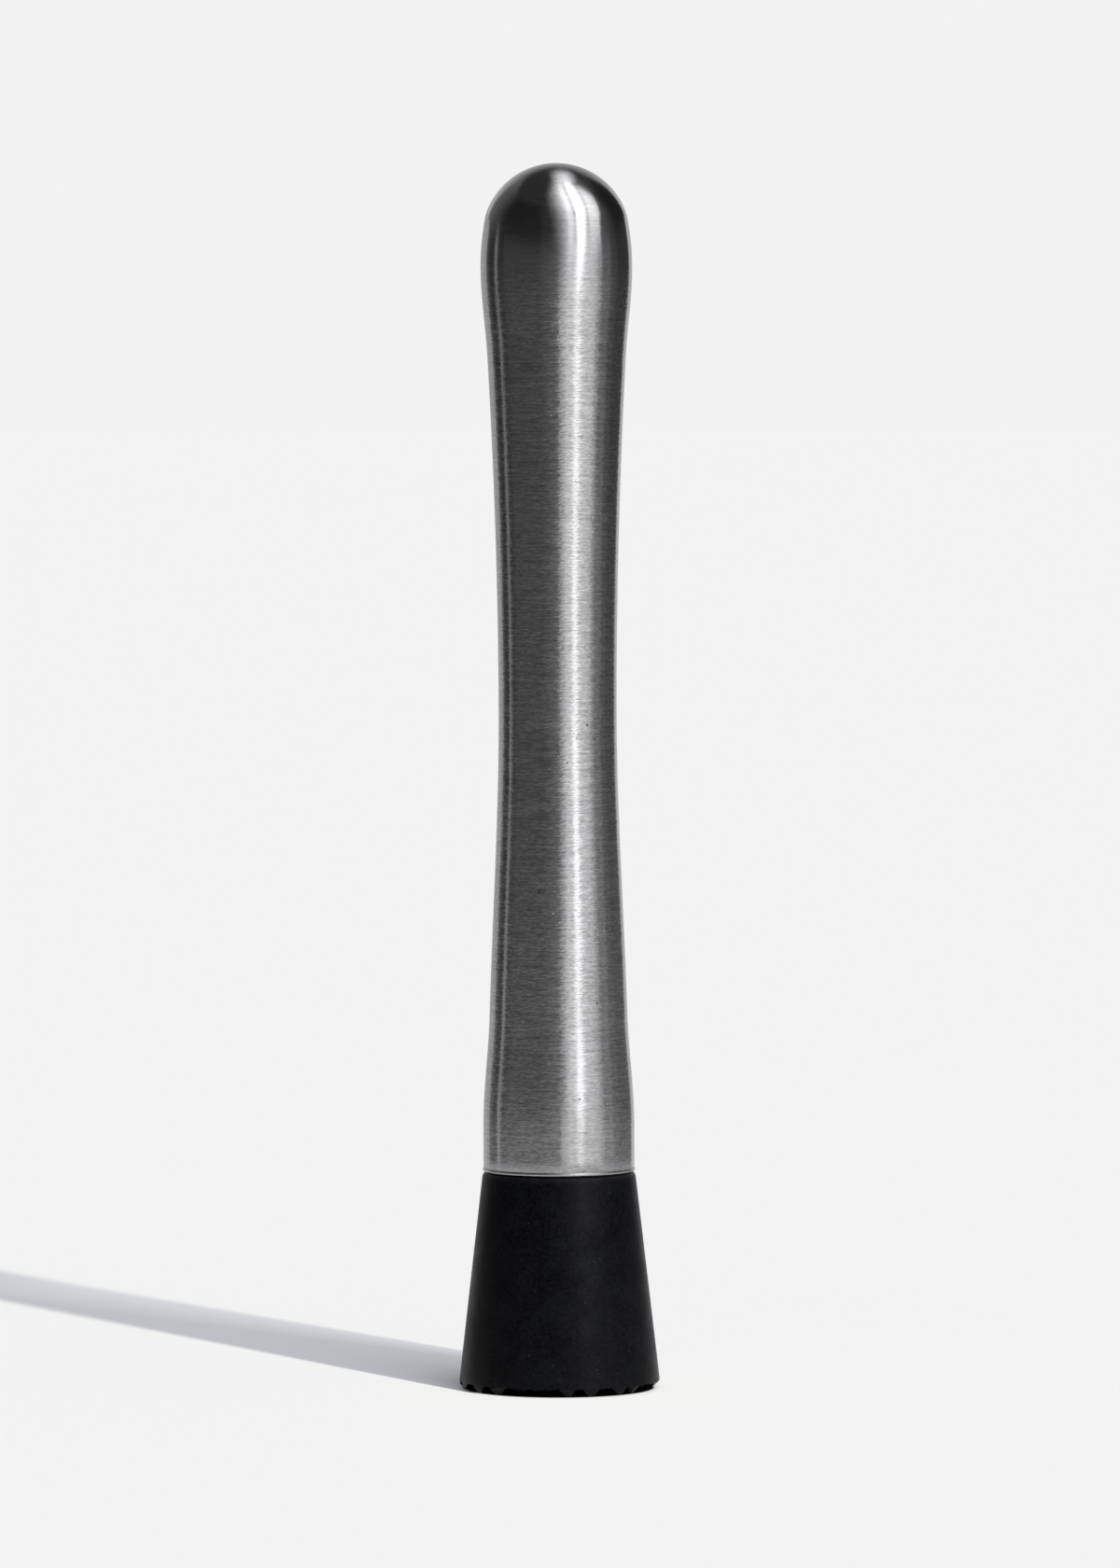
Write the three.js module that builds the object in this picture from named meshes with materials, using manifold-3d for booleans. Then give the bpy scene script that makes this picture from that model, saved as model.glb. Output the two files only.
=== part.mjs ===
// Cocktail muddler: a hollow stainless handle whose foot is closed by a plug with a threaded stud, and a
// toothed nylon head that screws onto the stud against a seal.
// Millimetres, +Z up. The origin is the middle of the plane that the head's teeth stand on.
import * as THREE from "three";
import { mergeVertices } from "three/addons/utils/BufferGeometryUtils.js";
import Module from "manifold-3d";

const wasm = await Module();
wasm.setup();

// Clearances
const THREAD_GAP = 0.3; // between the stud's thread and the insert's, square to the axis
const SEATED_GAP = 0.1; // round pieces that are pressed or moulded in and never move
const PLUG_GAP = 0.2; // between the plug and the wall of the handle, where the weld is drawn in
const SEAL_GAP = 0.3; // round the seal in its recess

// Nylon head, a cone that stands on its teeth
const HEAD_HEIGHT = 40.6; // from the tips of the teeth to the shoulder at the seam
const HEAD_BASE_RADIUS = 18.95; // where the cone would meet the plane of the teeth with no round edge
const HEAD_ROUND = 0.9; // round of the edge at the foot of the cone
const HEAD_EDGE = 0.25; // chamfer round the shoulder

// Teeth: pyramids with cut-off tips that two crossing sets of grooves leave standing
const TOOTH_PITCH = 4.5;
const TOOTH_DEPTH = 1.55;
const TOOTH_TIP = 0.9; // side of the flat tip
const GROOVE_FLOOR = 1.2; // width of the flat floor between two teeth

// Seal in a recess of the shoulder: what stands out of the recess is the dark line of the seam
const SEAM_GAP = 0.25;
const SEAL_THICKNESS = 1;
const SEAL_WIDTH = 3.2;
const RECESS_LIP = 0.9; // nylon left outside the recess

// Plug in the handle's foot, with a thin rim that shows as a bright ring at the seam
const RIM_THICKNESS = 0.5;
const RIM_PROUD = 0.12; // how far the rim stands out past the handle
const PLUG_WEB = 2; // metal left above the stud's hole
const PLUG_EDGE = 0.5;

// Stud, with a plain shank pressed into the plug and a thread below it
const STUD_RADIUS = 5;
const STUD_SEAT = 6; // length of the shank in the plug
const STUD_REACH = 11; // length below the plug
const STUD_EDGE = 0.8; // chamfer at both ends
const THREAD_PITCH = 1.5;
const THREAD_DEPTH = 0.8;

// Brass insert moulded into the head, with a groove that keys it to the nylon
const INSERT_LENGTH = 9;
const INSERT_RADIUS = 7;
const INSERT_FLANGE_RADIUS = 8.5;
const INSERT_FLANGE = 1;
const KEY_WIDTH = 2;
const KEY_DEPTH = 0.6;
const TIP_ROOM = 1.5; // free depth below the stud's tip

// Handle, from its foot to the top of its dome
const HANDLE_LENGTH = 187.65;
const SHELL_WALL = 0.8;
const FOOT_RADIUS = 14.15;
const FOOT_LENGTH = 8.2; // straight stretch above the foot
const TAPER_HEIGHT = 28.5; // where the flare of the foot has run out into the long taper
const TAPER_RADIUS = 12.92;
const TAPER_SLOPE = -0.03; // change of radius for each millimetre up
const WAIST_HEIGHT = 85;
const WAIST_RADIUS = 11.03;
const SWELL_DROP = 36; // below the top, where the grip starts to swell
const SWELL_RADIUS = 12.93;
const SWELL_SLOPE = 0.055;
const BULGE_DROP = 19.2;
const BULGE_RADIUS = 14.17;
const SHOULDER_DROP = 11;
const SHOULDER_RADIUS = 13.45;
const SHOULDER_SLOPE = -0.16;
const DOME_RADIUS = 13.85;
const DOME_HEIGHT = 8.6; // height of the round cap

// Facets
const LARGE_SEGMENTS = 40; // round the handle, plug, seal and head
const SMALL_SEGMENTS = 24; // round the stud and the insert
const ROWS_PER_PITCH = 8;
const STRETCH_STEPS = 5; // along each stretch of the handle's outline
const DOME_STEPS = 7;
const ROUND_STEPS = 3; // round the edge at the foot of the head
const MERGE_TOLERANCE = 1e-4;
const CUT_MARGIN = 1; // how far the groove cutters run past the head

// Heights and radii that follow from the sizes above
const plugFace = HEAD_HEIGHT + SEAM_GAP;
const handleFoot = plugFace + RIM_THICKNESS;
const handleTop = handleFoot + HANDLE_LENGTH;
const studTop = plugFace + STUD_SEAT;
const studTip = plugFace - STUD_REACH;
const plugTop = studTop + PLUG_WEB;
const sealSeat = plugFace - SEAL_THICKNESS;
const insertBottom = sealSeat - INSERT_LENGTH;
const rimRadius = FOOT_RADIUS + RIM_PROUD;
const recessRadius = rimRadius - RECESS_LIP;
const studRoot = STUD_RADIUS - THREAD_DEPTH;
const boreRadius = STUD_RADIUS + THREAD_GAP;

// Share of the thread's depth at a point: 1 on the crest of a right-hand helix and 0 in its groove.
function threadWave(angle, height) {
  return 0.5 + 0.5 * Math.cos((2 * Math.PI * height) / THREAD_PITCH - angle);
}

// A solid turned about Z. Each point of the outline is [radius, height], or [radius, height, depth] where a
// thread of that depth rises from the radius.
function turned(outline, segments) {
  const profile = outline.map(([radius, height]) => new THREE.Vector2(radius, height));
  const geometry = new THREE.LatheGeometry(profile, segments);
  geometry.rotateX(Math.PI / 2);
  const position = geometry.getAttribute("position");
  for (let index = 0; index < position.count; index += 1) {
    const [radius, height, depth = 0] = outline[index % outline.length];
    const angle = Math.atan2(position.getY(index), position.getX(index));
    const threaded = radius + depth * threadWave(angle, height);
    position.setXY(index, threaded * Math.cos(angle), threaded * Math.sin(angle));
  }
  return geometry;
}

// The rows of a threaded wall, from the bottom up. The thread fades out over one pitch at both ends, where a
// stud is as thin as its groove and a bore as wide as its own.
function threadedWall(bottom, top, wallPoint) {
  const rows = Math.ceil(((top - bottom) / THREAD_PITCH) * ROWS_PER_PITCH);
  return Array.from({ length: rows + 1 }, (_, row) => {
    const height = bottom + ((top - bottom) * row) / rows;
    const fromEnd = Math.min(height - bottom, top - height);
    const depth = THREAD_DEPTH * Math.min(1, fromEnd / THREAD_PITCH);
    return wallPoint(height, depth);
  });
}

// Where the handle's outline changes: height above the foot, radius and slope.
const domeStart = Math.sqrt(2 * DOME_RADIUS * DOME_HEIGHT - DOME_HEIGHT ** 2);
const handleStations = [
  { height: 0, radius: FOOT_RADIUS, slope: 0 },
  { height: FOOT_LENGTH, radius: FOOT_RADIUS, slope: 0 },
  { height: TAPER_HEIGHT, radius: TAPER_RADIUS, slope: TAPER_SLOPE },
  { height: WAIST_HEIGHT, radius: WAIST_RADIUS, slope: 0 },
  { height: HANDLE_LENGTH - SWELL_DROP, radius: SWELL_RADIUS, slope: SWELL_SLOPE },
  { height: HANDLE_LENGTH - BULGE_DROP, radius: BULGE_RADIUS, slope: 0 },
  { height: HANDLE_LENGTH - SHOULDER_DROP, radius: SHOULDER_RADIUS, slope: SHOULDER_SLOPE },
  { height: HANDLE_LENGTH - DOME_HEIGHT, radius: domeStart, slope: (DOME_HEIGHT - DOME_RADIUS) / domeStart },
];

// Radius between two stations, on a smooth curve that has their slopes at its ends.
function easedRadius(lower, upper, share) {
  const rise = upper.height - lower.height;
  const start = (1 + 2 * share) * (1 - share) ** 2 * lower.radius + share * (1 - share) ** 2 * rise * lower.slope;
  const end = share ** 2 * (3 - 2 * share) * upper.radius + share ** 2 * (share - 1) * rise * upper.slope;
  return start + end;
}

// Radius of the handle at a height above its foot, up to the start of the dome.
function handleRadius(height) {
  const next = Math.max(1, handleStations.findIndex((station) => station.height >= height));
  const lower = handleStations[next - 1];
  const upper = handleStations[next];
  return easedRadius(lower, upper, (height - lower.height) / (upper.height - lower.height));
}

// The handle's outline from its foot to the top of its dome. The straight foot needs no point between its ends.
function handleOutline() {
  const points = [new THREE.Vector2(FOOT_RADIUS, 0)];
  for (let next = 2; next < handleStations.length; next += 1) {
    const lower = handleStations[next - 1];
    const upper = handleStations[next];
    for (let step = 0; step < STRETCH_STEPS; step += 1) {
      const share = step / STRETCH_STEPS;
      const height = THREE.MathUtils.lerp(lower.height, upper.height, share);
      points.push(new THREE.Vector2(easedRadius(lower, upper, share), height));
    }
  }
  const capAngle = Math.asin((DOME_RADIUS - DOME_HEIGHT) / DOME_RADIUS);
  for (let step = 0; step <= DOME_STEPS; step += 1) {
    const angle = THREE.MathUtils.lerp(capAngle, Math.PI / 2, step / DOME_STEPS);
    const radius = step < DOME_STEPS ? DOME_RADIUS * Math.cos(angle) : 0;
    points.push(new THREE.Vector2(radius, HANDLE_LENGTH - DOME_RADIUS * (1 - Math.sin(angle))));
  }
  return points;
}

// The same outline moved in by the wall, square to the surface.
function innerOutline(outer) {
  const last = outer.length - 1;
  return outer.map((point, index) => {
    if (index === 0) {
      return new THREE.Vector2(point.x - SHELL_WALL, point.y);
    }
    if (index === last) {
      return new THREE.Vector2(0, point.y - SHELL_WALL);
    }
    const along = outer[index + 1].clone().sub(outer[index - 1]).normalize();
    return new THREE.Vector2(point.x - SHELL_WALL * along.y, point.y + SHELL_WALL * along.x);
  });
}

// Handle: one drawn tube with a closed dome, open at its foot.
function handleShell() {
  const outer = handleOutline();
  const inner = innerOutline(outer).reverse();
  const outline = [...inner, ...outer].map((point) => [point.x, handleFoot + point.y]);
  return turned(outline, LARGE_SEGMENTS);
}

// Plug: closes the foot, carries the stud, and its rim seats under the end of the tube.
function endPlug() {
  const bodyRadius = handleRadius(plugTop - handleFoot) - SHELL_WALL - PLUG_GAP;
  const holeRadius = STUD_RADIUS + SEATED_GAP;
  const outline = [
    [0, studTop],
    [holeRadius, studTop],
    [holeRadius, plugFace],
    [rimRadius, plugFace],
    [rimRadius, handleFoot],
    [bodyRadius, handleFoot],
    [bodyRadius, plugTop - PLUG_EDGE],
    [bodyRadius - PLUG_EDGE, plugTop],
    [0, plugTop],
  ];
  return turned(outline, LARGE_SEGMENTS);
}

// Stud: its shank ends against the bottom of the plug's hole, and its thread starts under the plug.
function threadedStud() {
  const thread = threadedWall(studTip + STUD_EDGE, plugFace, (height, depth) => [studRoot, height, depth]);
  const outline = [
    [0, studTip],
    [studRoot - STUD_EDGE, studTip],
    ...thread,
    [STUD_RADIUS, plugFace],
    [STUD_RADIUS, studTop - STUD_EDGE],
    [STUD_RADIUS - STUD_EDGE, studTop],
    [0, studTop],
  ];
  return turned(outline, SMALL_SEGMENTS);
}

// Seal: a flat ring in the head's recess, pressed against the plug.
function sealRing() {
  const outerRadius = recessRadius - SEAL_GAP;
  const innerRadius = outerRadius - SEAL_WIDTH;
  const outline = [
    [innerRadius, sealSeat],
    [outerRadius, sealSeat],
    [outerRadius, plugFace],
    [innerRadius, plugFace],
    [innerRadius, sealSeat],
  ];
  return turned(outline, LARGE_SEGMENTS);
}

// The groove in the middle of the insert's body that the nylon fills.
const insertBodyTop = sealSeat - INSERT_FLANGE;
const keyMiddle = (insertBottom + insertBodyTop) / 2;

// Insert: a flanged brass bush, threaded inside.
function threadedInsert() {
  const bore = threadedWall(insertBottom, sealSeat, (height, depth) => [boreRadius - depth, height, depth]);
  const outline = [
    [INSERT_RADIUS, insertBottom],
    [INSERT_RADIUS, keyMiddle - KEY_WIDTH / 2],
    [INSERT_RADIUS - KEY_DEPTH, keyMiddle - KEY_WIDTH / 2],
    [INSERT_RADIUS - KEY_DEPTH, keyMiddle + KEY_WIDTH / 2],
    [INSERT_RADIUS, keyMiddle + KEY_WIDTH / 2],
    [INSERT_RADIUS, insertBodyTop],
    [INSERT_FLANGE_RADIUS, insertBodyTop],
    [INSERT_FLANGE_RADIUS, sealSeat],
    ...bore.reverse(),
    [INSERT_RADIUS, insertBottom],
  ];
  return turned(outline, SMALL_SEGMENTS);
}

// A closed geometry as a solid that can be cut. The slivers that a turned shape has on its axis are dropped.
function solidFrom(geometry) {
  const bare = geometry.clone();
  bare.deleteAttribute("normal");
  bare.deleteAttribute("uv");
  const merged = mergeVertices(bare, MERGE_TOLERANCE);
  const corners = merged.getIndex().array;
  const triangles = [];
  for (let first = 0; first < corners.length; first += 3) {
    const triangle = [corners[first], corners[first + 1], corners[first + 2]];
    if (new Set(triangle).size === 3) {
      triangles.push(...triangle);
    }
  }
  const vertProperties = new Float32Array(merged.getAttribute("position").array);
  const triVerts = new Uint32Array(triangles);
  return new wasm.Manifold(new wasm.Mesh({ numProp: 3, vertProperties, triVerts }));
}

// The geometry of a cut solid.
function geometryFrom(solid) {
  const mesh = solid.getMesh();
  const geometry = new THREE.BufferGeometry();
  geometry.setAttribute("position", new THREE.BufferAttribute(new Float32Array(mesh.vertProperties), 3));
  geometry.setIndex(new THREE.BufferAttribute(new Uint32Array(mesh.triVerts), 1));
  geometry.computeVertexNormals();
  return geometry;
}

// A straight cutter with the section of the gap between two rows of teeth. It lies along Y, offset in X.
function grooveCutter(offset) {
  const halfFloor = GROOVE_FLOOR / 2;
  const halfMouth = (TOOTH_PITCH - TOOTH_TIP) / 2;
  const section = new THREE.Shape([
    new THREE.Vector2(-halfMouth, -CUT_MARGIN),
    new THREE.Vector2(halfMouth, -CUT_MARGIN),
    new THREE.Vector2(halfMouth, 0),
    new THREE.Vector2(halfFloor, TOOTH_DEPTH),
    new THREE.Vector2(-halfFloor, TOOTH_DEPTH),
    new THREE.Vector2(-halfMouth, 0),
  ]);
  const depth = 2 * (HEAD_BASE_RADIUS + CUT_MARGIN);
  const cutter = new THREE.ExtrudeGeometry(section, { depth, bevelEnabled: false });
  cutter.rotateX(Math.PI / 2);
  cutter.translate(offset, depth / 2, 0);
  return cutter;
}

// The round edge between the head's foot and its cone.
function footRound() {
  const slope = (HEAD_BASE_RADIUS - rimRadius) / (HEAD_HEIGHT - HEAD_EDGE);
  const middle = HEAD_BASE_RADIUS - slope * HEAD_ROUND - HEAD_ROUND;
  return Array.from({ length: ROUND_STEPS + 1 }, (_, step) => {
    const angle = ((Math.PI / 2) * step) / ROUND_STEPS;
    return [middle + HEAD_ROUND * Math.sin(angle), HEAD_ROUND * (1 - Math.cos(angle))];
  });
}

// Head: a cone with a recess for the seal, a pocket for the insert and grooves cut both ways across its foot.
function muddlingHead() {
  const pocketRadius = INSERT_RADIUS + SEATED_GAP;
  const flangeRadius = INSERT_FLANGE_RADIUS + SEATED_GAP;
  const keyRadius = pocketRadius - KEY_DEPTH;
  const halfKey = KEY_WIDTH / 2 - SEATED_GAP;
  const outline = [
    [0, 0],
    ...footRound(),
    [rimRadius, HEAD_HEIGHT - HEAD_EDGE],
    [rimRadius - HEAD_EDGE, HEAD_HEIGHT],
    [recessRadius, HEAD_HEIGHT],
    [recessRadius, sealSeat],
    [flangeRadius, sealSeat],
    [flangeRadius, insertBodyTop],
    [pocketRadius, insertBodyTop],
    [pocketRadius, keyMiddle + halfKey],
    [keyRadius, keyMiddle + halfKey],
    [keyRadius, keyMiddle - halfKey],
    [pocketRadius, keyMiddle - halfKey],
    [pocketRadius, insertBottom - SEATED_GAP],
    [boreRadius, insertBottom - SEATED_GAP],
    [boreRadius, studTip - TIP_ROOM],
    [0, studTip - TIP_ROOM],
  ];
  let head = solidFrom(turned(outline, LARGE_SEGMENTS));
  const outermost = Math.floor(HEAD_BASE_RADIUS / TOOTH_PITCH);
  for (let groove = -outermost; groove <= outermost; groove += 1) {
    const cutter = grooveCutter(groove * TOOTH_PITCH);
    head = head.subtract(solidFrom(cutter));
    head = head.subtract(solidFrom(cutter.rotateZ(Math.PI / 2)));
  }
  return geometryFrom(head);
}

const brushedSteel = { color: 0xb4b4b1, roughness: 0.3, metalness: 1 };
const turnedSteel = { color: 0xc2c2bf, roughness: 0.25, metalness: 1 };
const rolledSteel = { color: 0xa9a9a6, roughness: 0.35, metalness: 1 };
const blackSilicone = { color: 0x0c0c0d, roughness: 0.7, metalness: 0 };
const turnedBrass = { color: 0xb58f45, roughness: 0.3, metalness: 1 };
const blackNylon = { color: 0x171719, roughness: 0.55, metalness: 0 };

const muddler = new THREE.Group();

function addPiece(name, geometry, finish) {
  const piece = new THREE.Mesh(geometry, new THREE.MeshStandardMaterial(finish));
  piece.name = name;
  muddler.add(piece);
}

addPiece("handle_shell", handleShell(), brushedSteel);
addPiece("end_plug", endPlug(), turnedSteel);
addPiece("threaded_stud", threadedStud(), rolledSteel);
addPiece("seal_ring", sealRing(), blackSilicone);
addPiece("threaded_insert", threadedInsert(), turnedBrass);
addPiece("muddling_head", muddlingHead(), blackNylon);

export default muddler;
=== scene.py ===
"""Dresses the cocktail muddler: a brushed stainless handle on a turned plug and stud, a silicone seal, and a
toothed black nylon head with a brass insert, standing on a pale floor in soft studio light."""
import math

import bpy
from mathutils import Matrix, Vector


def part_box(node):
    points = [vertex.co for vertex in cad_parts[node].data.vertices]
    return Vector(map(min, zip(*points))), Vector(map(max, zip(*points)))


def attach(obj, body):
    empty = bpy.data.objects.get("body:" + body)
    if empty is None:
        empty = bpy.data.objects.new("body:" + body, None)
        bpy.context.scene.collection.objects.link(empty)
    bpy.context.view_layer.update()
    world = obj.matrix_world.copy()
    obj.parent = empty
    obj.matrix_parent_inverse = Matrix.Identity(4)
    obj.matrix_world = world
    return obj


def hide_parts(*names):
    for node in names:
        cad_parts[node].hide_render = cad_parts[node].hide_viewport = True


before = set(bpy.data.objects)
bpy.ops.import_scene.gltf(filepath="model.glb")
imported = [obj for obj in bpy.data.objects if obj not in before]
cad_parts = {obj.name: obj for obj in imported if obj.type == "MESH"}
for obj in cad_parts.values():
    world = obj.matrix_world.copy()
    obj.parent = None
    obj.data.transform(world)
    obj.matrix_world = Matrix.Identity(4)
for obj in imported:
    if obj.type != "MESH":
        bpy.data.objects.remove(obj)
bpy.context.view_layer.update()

# Sizes are in millimetres, as the part is drawn, and become metres when a mesh or a lamp is placed.
MM = 0.001


def height_of(node):
    """Lowest and highest point of a part of the frame, in millimetres."""
    low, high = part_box(node)
    return low.z / MM, high.z / MM


def radius_of(node):
    """Outer radius of a part of the frame, in millimetres."""
    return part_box(node)[1].x / MM


# Heights and radii that the frame gives
foot, top = height_of("handle_shell")
plug_face, plug_top = height_of("end_plug")
stud_tip, stud_top = height_of("threaded_stud")
seal_seat = height_of("seal_ring")[0]
insert_bottom = height_of("threaded_insert")[0]
shoulder_height = height_of("muddling_head")[1]
rim_radius = radius_of("end_plug")
seal_radius = radius_of("seal_ring")
flange_radius = radius_of("threaded_insert")

# Handle: height above the foot, radius and slope where its outline changes
SHELL_WALL = 0.8
FOOT_RADIUS = 14.15
DOME_RADIUS = 13.85
DOME_HEIGHT = 8.6
HANDLE_EDGE = 0.18
RING_SPACING = 2.2
DOME_RINGS = 22
length = top - foot
dome_start = math.sqrt(2 * DOME_RADIUS * DOME_HEIGHT - DOME_HEIGHT**2)
HANDLE_STATIONS = [
    (0, FOOT_RADIUS, 0),
    (8.2, FOOT_RADIUS, 0),
    (28.5, 12.92, -0.03),
    (85, 11.03, 0),
    (length - 36, 12.93, 0.055),
    (length - 19.2, 14.17, 0),
    (length - 11, 13.45, -0.16),
    (length - DOME_HEIGHT, dome_start, (DOME_HEIGHT - DOME_RADIUS) / dome_start),
]

# Plug, stud and insert
PLUG_RADIUS = 13.15
PLUG_CHAMFER = 0.5
PLUG_EDGE = 0.12
STUD_RADIUS = 5
THREAD_DEPTH = 0.8
THREAD_PITCH = 1.5
THREAD_GAP = 0.3
ROWS_PER_PITCH = 12
INSERT_RADIUS = 7
INSERT_FLANGE = 1
KEY_WIDTH = 2
KEY_DEPTH = 0.6
SEATED_GAP = 0.1
stud_root = STUD_RADIUS - THREAD_DEPTH
bore_radius = STUD_RADIUS + THREAD_GAP
insert_body_top = seal_seat - INSERT_FLANGE
key_middle = (insert_bottom + insert_body_top) / 2

# Seal and head
SEAL_WIDTH = 3.2
SEAL_GAP = 0.3
SEAL_EDGE = 0.1
HEAD_BASE_RADIUS = 18.95
TIP_ROOM = 1.5
SHOULDER_ROUND = 0.7
SHOULDER_STEPS = 6
FOOT_ROUND = 0.9
FOOT_STEPS = 4
HEAD_EDGE = 0.16
HEAD_ROWS = [4, 14, 27]
FIRST_ROW_ABOVE_TEETH = 0.5
TOOTH_PITCH = 4.5
TOOTH_DEPTH = 1.55
TOOTH_TIP = 0.9
GROOVE_FLOOR = 1.2
TOOTH_EDGE = 0.12
CUT_MARGIN = 1
head_slope = (HEAD_BASE_RADIUS - rim_radius) / shoulder_height

# Facets round the axis, and the distance within which corners are one
LARGE_STEPS = 160
SMALL_STEPS = 96
JOIN_DISTANCE = 0.001

# Angles in degrees: an edge that turns by more is rounded, and a face that turns by less is shaded smooth
EDGE_ANGLE = 35
HANDLE_EDGE_ANGLE = 60
HEAD_EDGE_ANGLE = 30
SMOOTH_ANGLE = 32
THREAD_SMOOTH_ANGLE = 50
HEAD_SMOOTH_ANGLE = 28
EDGE_SEGMENTS = 3
HEAD_EDGE_SEGMENTS = 2
FACES_UP = 0.9


# Modelling


def only(piece):
    """Makes a piece the only selected and the active object."""
    bpy.ops.object.select_all(action="DESELECT")
    piece.select_set(True)
    bpy.context.view_layer.objects.active = piece


def settle(piece, smooth_under=SMOOTH_ANGLE):
    """Puts a finished piece's place into its mesh, and shades it smooth except at its edges."""
    only(piece)
    bpy.ops.object.transform_apply(location=True, rotation=True, scale=True)
    bpy.ops.object.shade_smooth_by_angle(angle=math.radians(smooth_under))


def join_corners():
    """Joins the corners of the mesh in edit mode that all but meet, and faces it outwards."""
    bpy.ops.mesh.select_all(action="SELECT")
    bpy.ops.mesh.remove_doubles(threshold=JOIN_DISTANCE * MM)
    bpy.ops.mesh.normals_make_consistent(inside=False)
    bpy.ops.object.mode_set(mode="OBJECT")


def spin_line(name, points, steps, degrees):
    """Draws a vertex out along a line of points and spins the line round the axis, to the camera's right."""
    bpy.ops.object.select_all(action="DESELECT")
    bpy.ops.mesh.primitive_plane_add(size=MM, location=points[0])
    piece = bpy.context.object
    piece.name = name
    bpy.ops.object.mode_set(mode="EDIT")
    bpy.ops.mesh.select_mode(type="VERT")
    bpy.ops.mesh.select_all(action="SELECT")
    bpy.ops.mesh.merge(type="CENTER")
    for here, there in zip(points, points[1:]):
        bpy.ops.mesh.extrude_vertices_move(TRANSFORM_OT_translate={"value": there - here})
    bpy.ops.mesh.select_all(action="SELECT")
    bpy.ops.mesh.spin(steps=steps, angle=-math.radians(degrees), center=(0, 0, 0), axis=(0, 0, 1))
    join_corners()
    only(piece)
    bpy.ops.object.transform_apply(location=True, rotation=True, scale=True)
    return piece


def turn(name, outline, steps):
    """A turned piece: its outline of radii and heights, spun all the way round."""
    points = [Vector((radius * MM, 0, height * MM)) for radius, height in outline]
    return spin_line(name, points, steps, 360)


def apply_modifier(piece, kind, **settings):
    """Adds a modifier with its settings and applies it."""
    only(piece)
    modifier = piece.modifiers.new(kind.lower(), kind)
    for name, value in settings.items():
        setattr(modifier, name, value)
    bpy.ops.object.modifier_apply(modifier=modifier.name)


def round_edges(piece, width, segments=EDGE_SEGMENTS, over=EDGE_ANGLE):
    """Rounds every edge that turns by more than an angle."""
    apply_modifier(
        piece,
        "BEVEL",
        width=width * MM,
        segments=segments,
        limit_method="ANGLE",
        angle_limit=math.radians(over),
        harden_normals=False,
    )


def rows_between(bottom, top_row, spacing):
    """Heights from bottom to top, evenly spaced and no further apart than the spacing."""
    count = math.ceil((top_row - bottom) / spacing)
    return [bottom + (top_row - bottom) * row / count for row in range(count + 1)]


def wind_thread(piece, bottom, top_row, wall, outwards):
    """Moves the rows of a plain wall to a right-hand thread that fades out over a pitch at both ends."""
    for vertex in piece.data.vertices:
        radius = math.hypot(vertex.co.x, vertex.co.y) / MM
        height = vertex.co.z / MM
        from_end = min(height - bottom, top_row - height)
        if from_end > 0 and abs(radius - wall) < SEATED_GAP:
            angle = math.atan2(vertex.co.y, vertex.co.x)
            crest = 0.5 + 0.5 * math.cos(2 * math.pi * height / THREAD_PITCH - angle)
            depth = THREAD_DEPTH * min(1, from_end / THREAD_PITCH)
            threaded = wall + depth * crest if outwards else wall - depth * (1 - crest)
            vertex.co.x *= threaded / radius
            vertex.co.y *= threaded / radius


# Pieces


def eased_radius(lower, upper, share):
    """Radius between two stations, on a smooth curve that has their slopes at its ends."""
    rise = upper[0] - lower[0]
    back = 1 - share
    start = (1 + 2 * share) * back**2 * lower[1] + share * back**2 * rise * lower[2]
    end = share**2 * (3 - 2 * share) * upper[1] - share**2 * back * rise * upper[2]
    return start + end


def handle_outline():
    """The handle's outer line, from its foot over the waist and the swell to the top of the dome."""
    outline = []
    for lower, upper in zip(HANDLE_STATIONS, HANDLE_STATIONS[1:]):
        rows = rows_between(lower[0], upper[0], RING_SPACING)
        for row in rows[:-1]:
            share = (row - lower[0]) / (upper[0] - lower[0])
            outline.append((eased_radius(lower, upper, share), foot + row))
    cap_angle = math.asin((DOME_RADIUS - DOME_HEIGHT) / DOME_RADIUS)
    for ring in range(DOME_RINGS):
        angle = cap_angle + (math.pi / 2 - cap_angle) * ring / DOME_RINGS
        outline.append((DOME_RADIUS * math.cos(angle), top - DOME_RADIUS * (1 - math.sin(angle))))
    outline.append((0, top))
    return outline


def make_handle():
    """Drawn tube with a closed dome: its outer skin is turned, then given the thickness of the sheet."""
    handle = turn("handle", handle_outline(), LARGE_STEPS)
    apply_modifier(handle, "SOLIDIFY", thickness=SHELL_WALL * MM, offset=-1)
    round_edges(handle, HANDLE_EDGE, over=HANDLE_EDGE_ANGLE)
    settle(handle)
    return handle


def make_plug():
    """Turned plug, with the thin rim that shows as a bright ring."""
    hole = STUD_RADIUS + SEATED_GAP
    outline = [
        (0, stud_top),
        (hole, stud_top),
        (hole, plug_face),
        (rim_radius, plug_face),
        (rim_radius, foot),
        (PLUG_RADIUS, foot),
        (PLUG_RADIUS, plug_top - PLUG_CHAMFER),
        (PLUG_RADIUS - PLUG_CHAMFER, plug_top),
        (0, plug_top),
    ]
    plug = turn("plug", outline, LARGE_STEPS)
    round_edges(plug, PLUG_EDGE)
    settle(plug)
    return plug


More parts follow.
